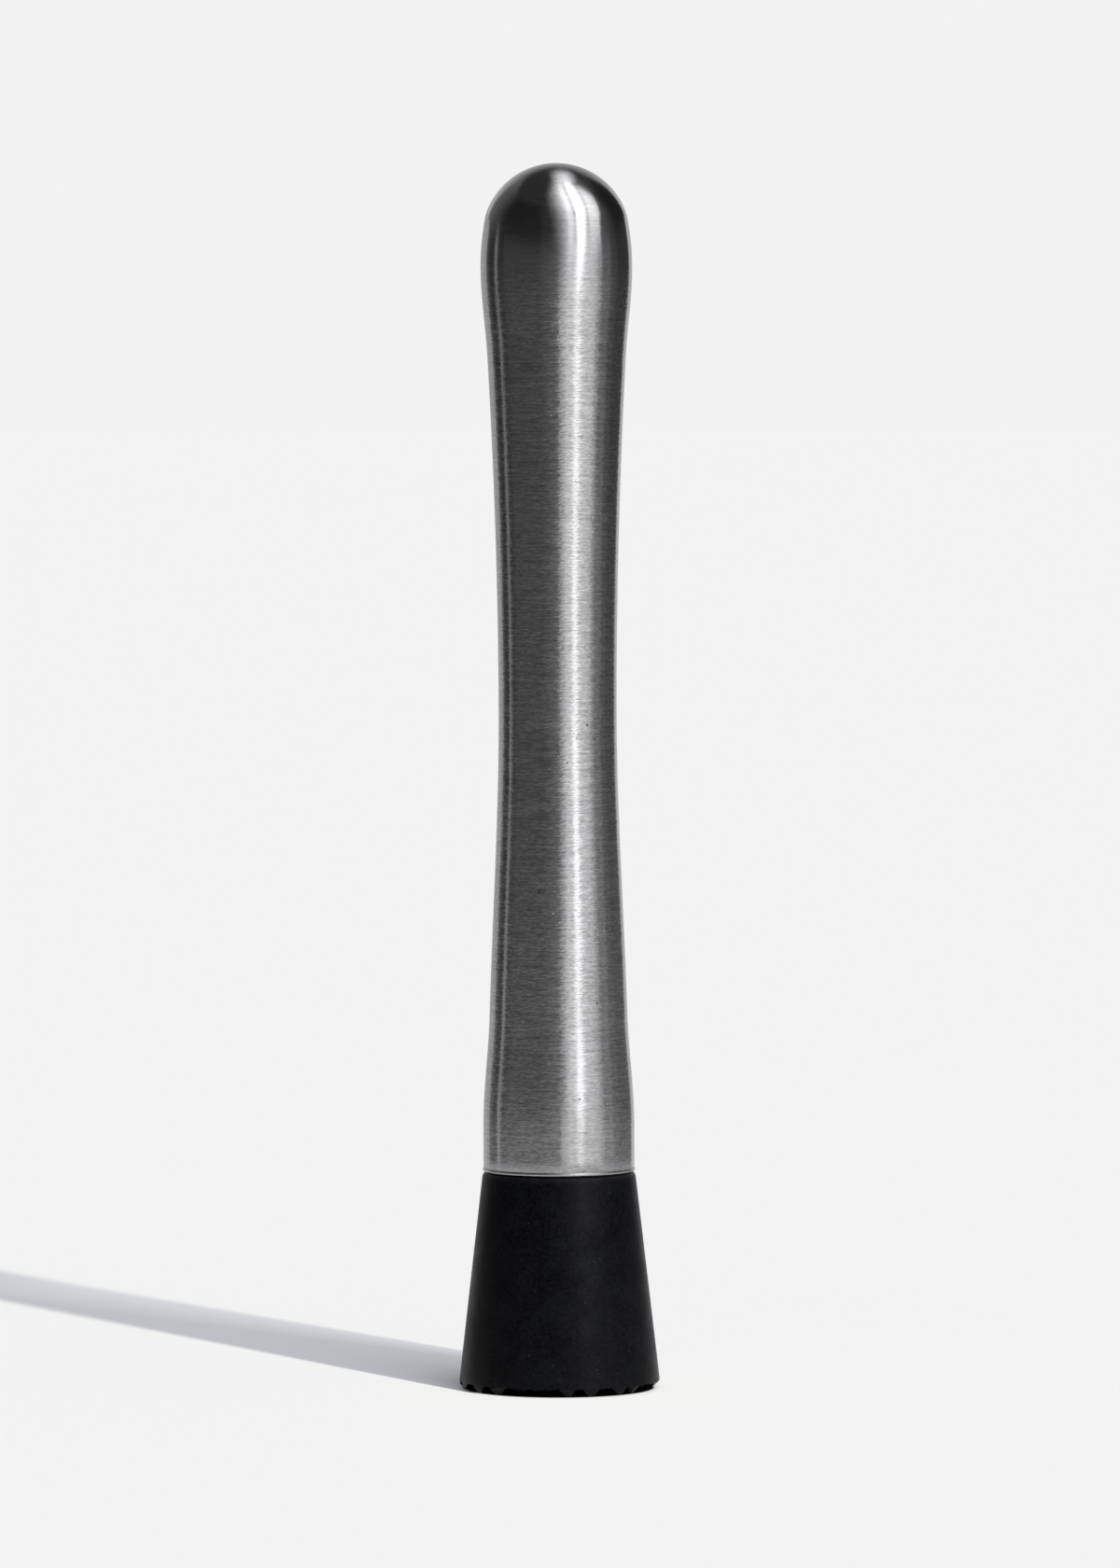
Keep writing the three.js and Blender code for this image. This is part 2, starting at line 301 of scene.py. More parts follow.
def make_stud():
    """Stud with a plain shank in the plug and a rolled thread below it."""
    thread_start = stud_tip + THREAD_DEPTH
    rows = rows_between(thread_start, plug_face, THREAD_PITCH / ROWS_PER_PITCH)
    outline = [
        (0, stud_tip),
        (stud_root - THREAD_DEPTH, stud_tip),
        *[(stud_root, row) for row in rows],
        (STUD_RADIUS, plug_face),
        (STUD_RADIUS, stud_top - THREAD_DEPTH),
        (STUD_RADIUS - THREAD_DEPTH, stud_top),
        (0, stud_top),
    ]
    stud = turn("stud", outline, SMALL_STEPS)
    wind_thread(stud, thread_start, plug_face, stud_root, outwards=True)
    settle(stud, smooth_under=THREAD_SMOOTH_ANGLE)
    return stud


def make_seal():
    """Flat ring with soft edges."""
    inner = seal_radius - SEAL_WIDTH
    outline = [
        (inner, seal_seat),
        (seal_radius, seal_seat),
        (seal_radius, plug_face),
        (inner, plug_face),
        (inner, seal_seat),
    ]
    seal = turn("seal", outline, LARGE_STEPS)
    round_edges(seal, SEAL_EDGE)
    settle(seal)
    return seal


def make_insert():
    """Flanged brass bush with a keying groove outside and a thread inside."""
    rows = rows_between(insert_bottom, seal_seat, THREAD_PITCH / ROWS_PER_PITCH)
    outline = [
        (INSERT_RADIUS, insert_bottom),
        (INSERT_RADIUS, key_middle - KEY_WIDTH / 2),
        (INSERT_RADIUS - KEY_DEPTH, key_middle - KEY_WIDTH / 2),
        (INSERT_RADIUS - KEY_DEPTH, key_middle + KEY_WIDTH / 2),
        (INSERT_RADIUS, key_middle + KEY_WIDTH / 2),
        (INSERT_RADIUS, insert_body_top),
        (flange_radius, insert_body_top),
        (flange_radius, seal_seat),
        *[(bore_radius, row) for row in reversed(rows)],
        (INSERT_RADIUS, insert_bottom),
    ]
    insert = turn("insert", outline, SMALL_STEPS)
    wind_thread(insert, insert_bottom, seal_seat, bore_radius, outwards=False)
    settle(insert, smooth_under=THREAD_SMOOTH_ANGLE)
    return insert


def groove_bar():
    """A bar along Y with the section of the gap between two rows of teeth. It flares at the tips of the
    teeth, to take off their sharp edges, and narrows at the groove's floor."""
    mouth = TOOTH_PITCH - TOOTH_TIP
    taper = (mouth - GROOVE_FLOOR) / TOOTH_DEPTH
    reach = 2 * (HEAD_BASE_RADIUS + CUT_MARGIN)
    heights = [0, TOOTH_EDGE, TOOTH_DEPTH - TOOTH_EDGE, TOOTH_DEPTH]
    widths = [mouth - taper * height for height in heights]
    widths[0] += 2 * TOOTH_EDGE
    widths[-1] -= TOOTH_EDGE
    bpy.ops.object.select_all(action="DESELECT")
    bpy.ops.mesh.primitive_cube_add(size=1, location=(0, 0, -CUT_MARGIN / 2 * MM))
    bar = bpy.context.object
    bar.scale = (widths[0] * MM, reach * MM, CUT_MARGIN * MM)
    bpy.ops.object.transform_apply(location=True, rotation=True, scale=True)
    bpy.ops.object.mode_set(mode="EDIT")
    bpy.ops.mesh.select_mode(type="FACE")
    bpy.ops.mesh.select_all(action="DESELECT")
    bpy.ops.object.mode_set(mode="OBJECT")
    for face in bar.data.polygons:
        face.select = face.normal.z > FACES_UP
    bpy.ops.object.mode_set(mode="EDIT")
    for step in range(1, len(heights)):
        rise = heights[step] - heights[step - 1]
        bpy.ops.mesh.extrude_region_move(TRANSFORM_OT_translate={"value": (0, 0, rise * MM)})
        bpy.ops.transform.resize(value=(widths[step] / widths[step - 1], 1, 1))
    bpy.ops.object.mode_set(mode="OBJECT")
    return bar


def cut_grooves(head):
    """Cuts a row of grooves each way across the head's foot, and joins the corners that all but meet."""
    bar = groove_bar()
    outermost = math.floor(HEAD_BASE_RADIUS / TOOTH_PITCH)
    for quarter in (0, 1):
        bpy.ops.object.select_all(action="DESELECT")
        bars = []
        for groove in range(-outermost, outermost + 1):
            copy = bpy.data.objects.new("groove", bar.data.copy())
            bpy.context.scene.collection.objects.link(copy)
            place = Matrix.Translation((groove * TOOTH_PITCH * MM, 0, 0))
            copy.data.transform(Matrix.Rotation(quarter * math.pi / 2, 4, "Z") @ place)
            copy.select_set(True)
            bars.append(copy)
        bpy.context.view_layer.objects.active = bars[0]
        bpy.ops.object.join()
        apply_modifier(head, "BOOLEAN", object=bars[0], operation="DIFFERENCE", solver="EXACT")
        bpy.data.objects.remove(bars[0])
    bpy.data.objects.remove(bar)
    only(head)
    bpy.ops.object.mode_set(mode="EDIT")
    join_corners()


def shoulder_arc():
    """The rounded edge between the cone and the head's top."""
    middle = rim_radius - SHOULDER_ROUND
    angles = [math.pi / 2 * step / SHOULDER_STEPS for step in range(1, SHOULDER_STEPS + 1)]
    return [
        (
            middle + SHOULDER_ROUND * math.cos(angle),
            shoulder_height - SHOULDER_ROUND * (1 - math.sin(angle)),
        )
        for angle in angles
    ]


def foot_arc():
    """The rounded edge between the head's foot and the cone."""
    middle = HEAD_BASE_RADIUS - head_slope * FOOT_ROUND - FOOT_ROUND
    angles = [math.pi / 2 * step / FOOT_STEPS for step in range(FOOT_STEPS + 1)]
    return [
        (middle + FOOT_ROUND * math.sin(angle), FOOT_ROUND * (1 - math.cos(angle)))
        for angle in angles
    ]


def make_head():
    """Moulded cone with a recess for the seal, a pocket for the insert and a waffle of teeth at its foot."""
    pocket = INSERT_RADIUS + SEATED_GAP
    flange_pocket = flange_radius + SEATED_GAP
    key = pocket - KEY_DEPTH
    half_key = KEY_WIDTH / 2 - SEATED_GAP
    recess = seal_radius + SEAL_GAP
    side_rows = [TOOTH_DEPTH + FIRST_ROW_ABOVE_TEETH, *HEAD_ROWS, shoulder_height - SHOULDER_ROUND]
    outline = [
        (0, 0),
        *foot_arc(),
        *[(HEAD_BASE_RADIUS - head_slope * row, row) for row in side_rows],
        *shoulder_arc(),
        (recess, shoulder_height),
        (recess, seal_seat),
        (flange_pocket, seal_seat),
        (flange_pocket, insert_body_top),
        (pocket, insert_body_top),
        (pocket, key_middle + half_key),
        (key, key_middle + half_key),
        (key, key_middle - half_key),
        (pocket, key_middle - half_key),
        (pocket, insert_bottom - SEATED_GAP),
        (bore_radius, insert_bottom - SEATED_GAP),
        (bore_radius, stud_tip - TIP_ROOM),
        (0, stud_tip - TIP_ROOM),
    ]
    head = turn("head", outline, LARGE_STEPS)
    round_edges(head, HEAD_EDGE, segments=HEAD_EDGE_SEGMENTS, over=HEAD_EDGE_ANGLE)
    cut_grooves(head)
    settle(head, smooth_under=HEAD_SMOOTH_ANGLE)
    return head


# Shader nodes


def linear(hex_colour):
    """An sRGB hex colour as linear red, green, blue and alpha."""
    channels = [int(hex_colour[place : place + 2], 16) / 255 for place in (1, 3, 5)]
    return [c / 12.92 if c <= 0.04045 else ((c + 0.055) / 1.055) ** 2.4 for c in channels] + [1]


def feed(tree, node, inputs):
    """Gives a node its inputs, which are values or the sockets that feed them."""
    for name, value in inputs.items():
        if isinstance(value, bpy.types.NodeSocket):
            tree.links.new(value, node.inputs[name])
        else:
            node.inputs[name].default_value = value


def add(tree, kind, inputs=None, **settings):
    """Adds a node with its settings and its inputs."""
    made = tree.nodes.new(kind)
    for name, value in settings.items():
        setattr(made, name, value)
    feed(tree, made, inputs or {})
    return made


def work(tree, operation, *values):
    """Result of one step of arithmetic."""
    return add(tree, "ShaderNodeMath", dict(enumerate(values)), operation=operation).outputs[0]


def ramp(tree, value, start, end, low, high, **settings):
    """A value's way from a start to an end, as a number from low to high that stays between them."""
    inputs = {"Value": value, "From Min": start, "From Max": end, "To Min": low, "To Max": high}
    return add(tree, "ShaderNodeMapRange", inputs, **settings).outputs["Result"]


def hump(tree, value, middle, half_width, height):
    """A smooth rise round a middle, which reaches a height there and ends a half width away."""
    beside = work(tree, "ABSOLUTE", work(tree, "SUBTRACT", value, middle))
    return ramp(tree, beside, 0, half_width, height, 0, interpolation_type="SMOOTHSTEP")


def blend(tree, share, without, within, kind="RGBA"):
    """Mix of two colours, or of two numbers."""
    inputs = {"Factor": share, "A": without, "B": within}
    return add(tree, "ShaderNodeMix", inputs, data_type=kind).outputs["Result"]


def coordinates(tree):
    """Coordinates of the object, in metres."""
    return add(tree, "ShaderNodeTexCoord").outputs["Object"]


def split(tree, place):
    """The three coordinates of a point."""
    return add(tree, "ShaderNodeSeparateXYZ", {"Vector": place}).outputs


def from_axis(tree, place):
    """How far a point is from the muddler's axis."""
    flat = add(tree, "ShaderNodeVectorMath", {0: place, 1: (1, 1, 0)}, operation="MULTIPLY").outputs["Vector"]
    return add(tree, "ShaderNodeVectorMath", {0: flat}, operation="LENGTH").outputs["Value"]


def towards(tree, place, direction):
    """How far a point is in a direction."""
    inputs = {0: place, 1: direction}
    return add(tree, "ShaderNodeVectorMath", inputs, operation="DOT_PRODUCT").outputs["Value"]


def drawn_out(tree, place, along, across, slant=(0, 0, 0)):
    """Coordinates for marks drawn out round the axis: how long and how thick they are, in millimetres."""
    scale = (1 / (along * MM), 1 / (along * MM), 1 / (across * MM))
    inputs = {"Vector": place, "Rotation": slant, "Scale": scale}
    return add(tree, "ShaderNodeMapping", inputs).outputs["Vector"]


def noise(tree, place, detail, roughness=0.5, size=1 / MM):
    """Noise with marks of about a size in millimetres, which is left out if the coordinates are drawn out."""
    inputs = {"Vector": place, "Scale": 1 / (size * MM), "Detail": detail, "Roughness": roughness}
    return add(tree, "ShaderNodeTexNoise", inputs).outputs["Fac"]


def from_spot(tree, place, spacing):
    """Distance from the nearest of scattered spots, as a share of their spacing in millimetres."""
    inputs = {"Vector": place, "Scale": 1 / (spacing * MM)}
    return add(tree, "ShaderNodeTexVoronoi", inputs).outputs["Distance"]


def bumps(tree, height, strength, depth):
    """Normals of a surface with a relief as deep as a depth in millimetres."""
    inputs = {"Height": height, "Strength": strength, "Distance": depth * MM}
    return add(tree, "ShaderNodeBump", inputs).outputs["Normal"]


# Materials

# Most of a noise lies between these
NOISE_LOW = 0.3
NOISE_HIGH = 0.7

# Strength and depth of a fine finish's relief
FINE_STRENGTH = 0.3
FINE_DEPTH = 0.02


def new_material(name):
    """A material with a plain Principled shader. Returns it, its tree, its shader and its coordinates."""
    material = bpy.data.materials.new(name)
    material.use_nodes = True
    tree = material.node_tree
    return material, tree, tree.nodes["Principled BSDF"], coordinates(tree)


def brushed_stainless():
    """Drawn stainless steel, brushed round the handle with a fine belt. The short lines smear what it
    mirrors up and down and break the edges of its bright bands into dashes and glints. Paler lines are
    duller, the dome is polished finer, the foot is smoother, and the sheet has a few small dark spots and
    small dents. Real brush lines are under 0.1 mm thick, so they are drawn coarser here, to show."""
    slant = (math.radians(0.8), math.radians(-1.1), 0)
    line_length, line_width = 5, 0.34
    nick_length, nick_width = 1, 0.3
    pass_length, pass_width = 60, 7
    line_contrast = 0.3
    line_dullness = 0.25
    polish_start = top - 27
    polish_end = top - 16
    dome_lines = 0.3
    dome_polish = 0.8
    spot_spacing = 5.5
    spot_radius = 0.26
    dent_spacing = 3.6
    dent_radius = 0.24
    dent_depth = 1.6
    smoothest, roughest = 0.19, 0.245
    calm_height = 30
    calm_relief, full_relief = 0.15, 0.6
    relief_depth = 0.055
    quarter_turn = 0.25

    material, tree, shader, place = new_material("stainless_steel_brushed")
    lines = noise(tree, drawn_out(tree, place, line_length, line_width, slant), detail=1.5, roughness=0.55)
    nicks = noise(tree, drawn_out(tree, place, nick_length, nick_width, slant), detail=1)
    passes = noise(tree, drawn_out(tree, place, pass_length, pass_width), detail=4, roughness=0.6)
    height = split(tree, place)["Z"]
    coarse = ramp(tree, height, polish_start * MM, polish_end * MM, 1, dome_lines)

    uneven = work(tree, "SUBTRACT", work(tree, "ADD", lines, nicks), 1)
    uneven = work(tree, "MULTIPLY", uneven, coarse)
    shade = ramp(tree, uneven, -line_contrast, line_contrast, 0, 1)
    tone = blend(tree, shade, linear("#ACABAB"), linear("#D7D6D5"))
    spot_share = spot_radius / spot_spacing
    dark_spots = ramp(tree, from_spot(tree, place, spot_spacing), 0.5 * spot_share, spot_share, 1, 0)
    spotted = blend(tree, dark_spots, tone, linear("#4A4846"))

    polish = ramp(tree, coarse, dome_lines, 1, dome_polish, 1)
    dullness = ramp(tree, shade, 0, 1, 1 - line_dullness, 1 + line_dullness)
    rough = ramp(tree, passes, NOISE_LOW, NOISE_HIGH, smoothest, roughest)
    rough = work(tree, "MULTIPLY", work(tree, "MULTIPLY", rough, polish), dullness)

    dent_share = dent_radius / dent_spacing
    from_dent = from_spot(tree, place, dent_spacing)
    dents = ramp(tree, from_dent, 0, dent_share, -dent_depth, 0, interpolation_type="SMOOTHSTEP")
    calm = ramp(tree, height, foot * MM, (foot + calm_height) * MM, calm_relief, full_relief)
    strength = work(tree, "MULTIPLY", coarse, calm)
    tangent = add(tree, "ShaderNodeTangent", direction_type="RADIAL", axis="Z").outputs["Tangent"]
    inputs = {
        "Metallic": 1,
        "Anisotropic": 0.72,
        "Anisotropic Rotation": quarter_turn,
        "Base Color": spotted,
        "Roughness": rough,
        "Normal": bumps(tree, work(tree, "ADD", nicks, dents), strength, relief_depth),
        "Tangent": tangent,
    }
    feed(tree, shader, inputs)
    return material


def turned_metal(name, dark, bright, tool_mark, roughest):
    """Metal turned on a lathe: fine rings round the axis, bright where the tool burnished them and duller in
    faint patches. Real tool marks are about 0.05 mm apart, so they are drawn coarser here, to show."""
    ring_length = 40
    patch_size = 4
    dull_end, bright_end = 0.12, 0.4
    burnish = 0.6
    material, tree, shader, place = new_material(name)
    rings = noise(tree, drawn_out(tree, place, ring_length, tool_mark), detail=2, roughness=0.6)
    patches = noise(tree, place, detail=3, size=patch_size)
    shade = ramp(tree, work(tree, "MULTIPLY", rings, patches), dull_end, bright_end, 0, 1)
    inputs = {
        "Metallic": 1,
        "Base Color": blend(tree, shade, linear(dark), linear(bright)),
        "Roughness": ramp(tree, shade, 0, 1, roughest, burnish * roughest),
        "Normal": bumps(tree, rings, FINE_STRENGTH, FINE_DEPTH),
    }
    feed(tree, shader, inputs)
    return material


def rolled_stainless():
    """Stainless steel with a rolled thread: the crests are pressed smooth and bright, the roots stay
    duller, and the metal's flow leaves faint streaks along the thread."""
    streak_length, streak_width = 3, 0.25
    fully_worn = 0.6
    roughest, smoothest = 0.42, 0.2
    material, tree, shader, place = new_material("stainless_steel_rolled")
    crest = ramp(tree, from_axis(tree, place), stud_root * MM, STUD_RADIUS * MM, 0, 1)
    streaks = noise(tree, drawn_out(tree, place, streak_length, streak_width), detail=3, roughness=0.6)
    worn = work(tree, "MULTIPLY", crest, streaks)
    inputs = {
        "Metallic": 1,
        "Base Color": blend(tree, worn, linear("#9C9B99"), linear("#DAD9D7")),
        "Roughness": ramp(tree, worn, 0, fully_worn, roughest, smoothest),
        "Normal": bumps(tree, streaks, FINE_STRENGTH, FINE_DEPTH),
    }
    feed(tree, shader, inputs)
    return material


def moulded_silicone():
    """Black silicone from a matt mould: soft and dull, with a faint grain and a bloom of dust in patches."""
    bloom_size = 2
    bloom_start, bloom_end = 0.4, 0.75
    grain_size = 0.2
    smoothest, roughest = 0.55, 0.75
    material, tree, shader, place = new_material("silicone_moulded_black")
    bloom = noise(tree, place, detail=4, roughness=0.65, size=bloom_size)
    grain = noise(tree, place, detail=2, size=grain_size)
    dusty = ramp(tree, bloom, bloom_start, bloom_end, 0, 1)
    inputs = {
        "IOR": 1.41,
        "Base Color": blend(tree, dusty, linear("#0A0A0B"), linear("#1A1A1C")),
        "Roughness": ramp(tree, grain, NOISE_LOW, NOISE_HIGH, smoothest, roughest),
        "Normal": bumps(tree, grain, FINE_STRENGTH, FINE_DEPTH),
    }
    feed(tree, shader, inputs)
    return material


def moulded_nylon():
    """Black nylon from a matt mould: a dull skin with a fine grain, cloudy where hands have polished it,
    with a few specks of dust, a painted highlight on its shoulder, and painted shade in the grooves under its
    foot."""
    cloud_size = 5
    cloudy_start, cloudy_end = 0.8, 1.3
    grain_size = 0.5
    grain_strength, grain_depth = 0.35, 0.08
    speck_spacing = 2.4
    speck_core, speck_edge = 0.03, 0.07
    skin_inner, skin_outer = HEAD_BASE_RADIUS - 0.35, HEAD_BASE_RADIUS - 0.2
    groove_end, skin_start = TOOTH_DEPTH + 0.3, TOOTH_DEPTH + 0.6
    highlight_start, highlight_end = shoulder_height - 1.3, shoulder_height - 0.1
    roughest, smoothest = 0.43, 0.3

    material, tree, shader, place = new_material("nylon_moulded_black")
    clouds = noise(tree, place, detail=6, roughness=0.7, size=cloud_size)
    grain = noise(tree, place, detail=3, roughness=0.6, size=grain_size)
    cloudy = ramp(tree, work(tree, "ADD", clouds, grain), cloudy_start, cloudy_end, 0, 1)
    tone = blend(tree, cloudy, linear("#010102"), linear("#0A0B0E"))
    specks = ramp(tree, from_spot(tree, place, speck_spacing), speck_core, speck_edge, 1, 0)
    dusty = blend(tree, specks, tone, linear("#222224"))

    height = split(tree, place)["Z"]
    # Painted shade: the grooves and the inner teeth under the foot are coloured darker, where shade falls
    reach = work(tree, "MULTIPLY_ADD", height, head_slope, from_axis(tree, place))
    skin = ramp(tree, reach, skin_inner * MM, skin_outer * MM, 0, 1)
    above_teeth = ramp(tree, height, groove_end * MM, skin_start * MM, 0, 1)
    outside_grooves = work(tree, "MAXIMUM", skin, above_teeth)
    # Painted highlight: the shoulder's top edge is coloured paler, where it catches the softbox; worn is the
    # dusty tone with this painted highlight on it
    shoulder = ramp(tree, height, highlight_start * MM, highlight_end * MM, 0, 1)
    shoulder_highlight = work(tree, "MULTIPLY", work(tree, "MULTIPLY", shoulder, grain), skin)
    worn = blend(tree, shoulder_highlight, dusty, linear("#161618"))
    inputs = {
        "Specular IOR Level": 0.1,
        "Base Color": blend(tree, outside_grooves, linear("#020203"), worn),
        "Roughness": ramp(tree, clouds, NOISE_LOW, NOISE_HIGH, roughest, smoothest),
        "Normal": bumps(tree, grain, grain_strength, grain_depth),
    }
    feed(tree, shader, inputs)
    return material


def dress(piece, material, body, node):
    """Gives a piece its material, puts it on the body that carries it, and hides the part of the frame that
    it stands for.
    """
    piece.data.materials.clear()
    piece.data.materials.append(material)
    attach(piece, body)
    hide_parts(node)


turned_stainless = turned_metal("stainless_steel_turned", "#B5B4B2", "#DDDCDB", tool_mark=0.15, roughest=0.32)
turned_brass = turned_metal("brass_turned", "#A07C3C", "#D6B26C", tool_mark=0.25, roughest=0.36)
dress(make_handle(), brushed_stainless(), "handle", "handle_shell")
dress(make_plug(), turned_stainless, "handle", "end_plug")
dress(make_stud(), rolled_stainless(), "handle", "threaded_stud")
dress(make_seal(), moulded_silicone(), "seal", "seal_ring")
dress(make_insert(), turned_brass, "head", "threaded_insert")
dress(make_head(), moulded_nylon(), "head", "muddling_head")


# Camera: where the photograph was taken from, with a long lens. From here on, lengths are in metres.
CAMERA_AZIMUTH = math.radians(17.5)
CAMERA_DISTANCE = 1.741
CAMERA_HEIGHT = 0.189
CAMERA_ROLL = math.radians(0.17)
AIM_HEIGHT = 0.11318
AIM_RIGHT = 0.0004
LENS = 214.12
VIEW_END = 200


def around(azimuth):
    """Unit vector on the floor towards a direction, in degrees to the camera's right."""
    angle = CAMERA_AZIMUTH + math.radians(azimuth)
    return Vector((math.sin(angle), -math.cos(angle), 0))


camera_data = bpy.data.cameras.new("camera")
camera_data.lens = LENS
camera_data.clip_end = VIEW_END
camera = bpy.data.objects.new("camera", camera_data)
bpy.context.scene.collection.objects.link(camera)
camera.location = around(0) * CAMERA_DISTANCE + Vector((0, 0, CAMERA_HEIGHT))
aim = Vector((0, 0, AIM_HEIGHT)) + around(90) * AIM_RIGHT
gaze = (aim - camera.location).to_track_quat("-Z", "Y").to_matrix().to_4x4()
camera.matrix_world = Matrix.Translation(camera.location) @ gaze @ Matrix.Rotation(-CAMERA_ROLL, 4, "Z")
bpy.context.scene.camera = camera


# Stage: pale floor, pale surroundings and a low key lamp. The softbox, the flags and the dark room round them
# show only in reflections: they are what the steel mirrors.
PALE = "#F2F2F2"
FLOOR_SIZE = 60
FLOOR_COLOUR = "#F3F3F3"
FILL_COLOUR = (0.974, 0.985, 1.043, 1)
FILL_STRENGTH = 0.616
KEY_COLOUR = (1.04, 1.025, 0.93)
KEY_STRENGTH = 6.2
KEY_AZIMUTH = 30.2
KEY_ELEVATION = 11
KEY_ANGLE = 1.8
STUDIO_WHITE = "#FBFBFF"

# Painted shade: where the floor is painted dark under the head, in millimetres, how dark the painted shade is
# in the shadow at the head's edge, and how fast that falls with distance
CONTACT_RADIUS = 17.7
CONTACT_BLUR = 0.3
CONTACT_SHADOW_COLOUR = "#101114"
CONTACT_SHADE = 0.75
CONTACT_POWER = 2

# Painted light: how much the lit floor glows at the head's edge, standing in for the room's light that the
# muddler keeps off it, and how fast that falls with distance
FLOOR_LIFT = 0.21
FLOOR_LIFT_POWER = 1.5

# Painted light inside the shadow's far edge: how much the floor glows there, how fast that spreads with
# distance from the muddler, and where it fades out
SHADOW_LIFT = 0.17
SHADOW_SPREAD = 0.13
SHADOW_FADE_START = 0.22
SHADOW_FADE_END = 0.32

# Softbox: a flat panel whose left edge stands in one direction, and which leans over the muddler. Its glow is
# set by how far to the right of that edge and how far up the panel a point is.
SOFTBOX_AZIMUTH = 4.5
SOFTBOX_DISTANCE = 0.9
SOFTBOX_LEAN = 0.46
SOFTBOX_WIDTH = 2.27
SOFTBOX_TOP = 2.4
SOFTBOX_MARGIN = 0.42
SOFTBOX_GLOW = 0.88
SOFTBOX_LEAST = 0.035
HEM_BOW = 0.15
HEM_LEVEL = 0.2
HEM_REACH = 1
HEM_START = -0.36
HEM_END = 0.25
HEM_POWER = 3
FALL_START = 0.9
FALL_END = 1.7
DOME_LEVEL = 0.22

# Tubes behind its cloth and seams in it: distance from the hem, half width, and glow or depth
TUBES = [(0.28, 0.11, 0.16), (0.57, 0.19, 1.6)]
SEAMS = [(0.405, 0.07, 0.75), (0.87, 0.1, 0.6)]

# What changes up the panel: where each change starts and ends, and from what to what
FAR_SIDE = (0.1, 0.6, 0.6, 0.7)
SEAM_DEPTH = (0.1, 0.4, 0, 1)
TOP_GAIN = (0.03, 0.7, 1, 2.1)
TOP_FADE = (1.2, 2.1, 1, 0.6)

# Flags: direction where each starts and ends, in degrees to the camera's right, how much it glows, and how
# much more it does so low down and less high up
FLAG_DISTANCE = 0.28
FLAG_TOP = 0.26
FLAG_LOW = 0.05
FLAG_HIGH = 0.21
FLAG_FACET = 3
FLAGS = [
    ("left_back", -168, -131, 0.45, 0),
    ("left_flag", -131, -106.5, 0.05, 0.25),
    ("left_strip", -106.5, -100, 0.35, 0.2),
    ("left_gap", -100, -87, 0.067, 0.33),
    ("front_flag", -87, 3, 0.095, 0.2),
    ("right_edge", 65, 72, 0.475, 0.1),
    ("right_wall", 72, 90, 0.235, 0.28),
    ("right_turn", 90, 104, 0.13, 0.38),
    ("right_flag", 104, 143, 0.095, 0.47),
    ("right_back", 143, 168, 0.6, 0),
]

# How much the floor's light adds at their feet, and how high that reaches
FLAG_FOOT_GLOW = 0.14
FLAG_FOOT_REACH = 0.045

# Room: its dark wall, its pale back wall, its ceiling, and a glowing card that stands in for the part of the
# floor that shows in the steel
ROOM_DISTANCE = 2.5
ROOM_TOP = 3
ROOM_START = -146
ROOM_END = 150
ROOM_GLOW = 0.02
ROOM_FACETS = 96
BACK_GLOW = 0.66
BACK_FADE_START = 0.5
BACK_FACETS = 24
CEILING_GLOW = 0.04
FLOOR_CARD_START = 0.06
FLOOR_CARD_LEVEL = 0.001
FLOOR_CARD_GLOW = 0.52
RING_FACETS = 48

# Where a flag or the room's wall glows more: direction, how near to it in cosine that starts, and how strong
FLAG_HAZE = {
    "left_flag": (-131, math.cos(math.radians(15)), 0.085),
    "front_flag": (3, math.cos(math.radians(34)), 0.065),
}
ROOM_HAZE = [(ROOM_START, 0.5, 0.14), (76, 0.8, 0.085)]
HAZE_POWER = 2

# Top light: a strip under the ceiling, over the muddler and behind it
TOP_LIGHT_HEIGHT = 2.9
TOP_LIGHT_START = 0.2
TOP_LIGHT_LENGTH = 2.6
TOP_LIGHT_EVEN = 0.9
TOP_LIGHT_SIDE = 0.42
TOP_LIGHT_WIDTH = 1.5
TOP_LIGHT_GLOW = 1.5


